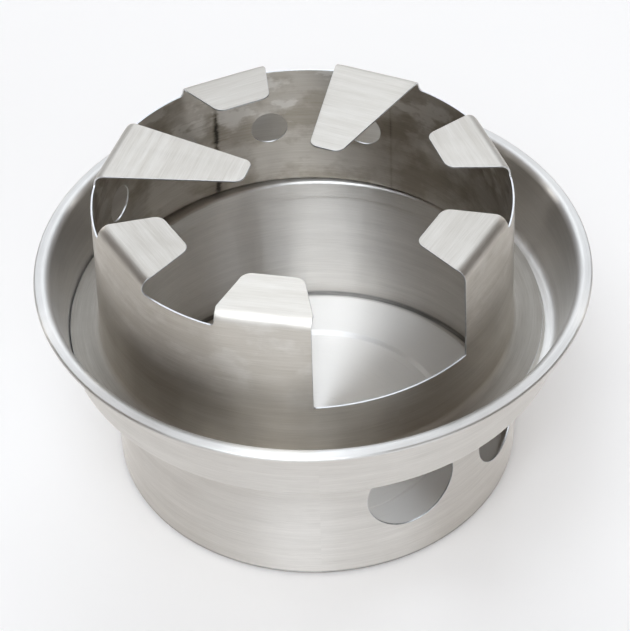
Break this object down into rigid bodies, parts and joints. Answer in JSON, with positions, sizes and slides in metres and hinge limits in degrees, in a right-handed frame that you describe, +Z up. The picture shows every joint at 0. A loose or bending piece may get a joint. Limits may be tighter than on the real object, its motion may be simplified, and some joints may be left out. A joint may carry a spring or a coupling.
{
  "type": "twig stove",
  "caption": "Small wood-burning camp stove: a drawn cup with round air holes, a shallow bowl on it and a loose pot ring with a side fuel opening and inward tabs.",
  "frame": {"origin": "the centre of the base cup's underside, on the surface that the stove stands on", "axes": "+Z up; -Y towards the side that the picture was taken from, with the first air hole and the fuel opening turned about 25 degrees from it towards +X"},
  "size_m": [0.14, 0.14, 0.0845],
  "materials": {
    "cup_steel": "satin drawn stainless sheet with fine level draw lines",
    "bowl_steel": "fine spun satin stainless sheet, turned round the axis",
    "ring_steel": "level brushed stainless sheet, with a butt weld down its back"
  },
  "bodies": {
    "base_cup": {"base_cup": "cup_steel"},
    "bowl": {"bowl": "bowl_steel"},
    "pot_ring": {"pot_ring": "ring_steel"}
  },
  "joints": [
    {"name": "bowl_lift", "type": "slide", "parent": "base_cup", "child": "bowl", "axis": [0, 0, 1], "range_m": [0, 0.02]},
    {"name": "ring_lift", "type": "slide", "parent": "bowl", "child": "pot_ring", "axis": [0, 0, 1], "range_m": [0, 0.03]}
  ]
}
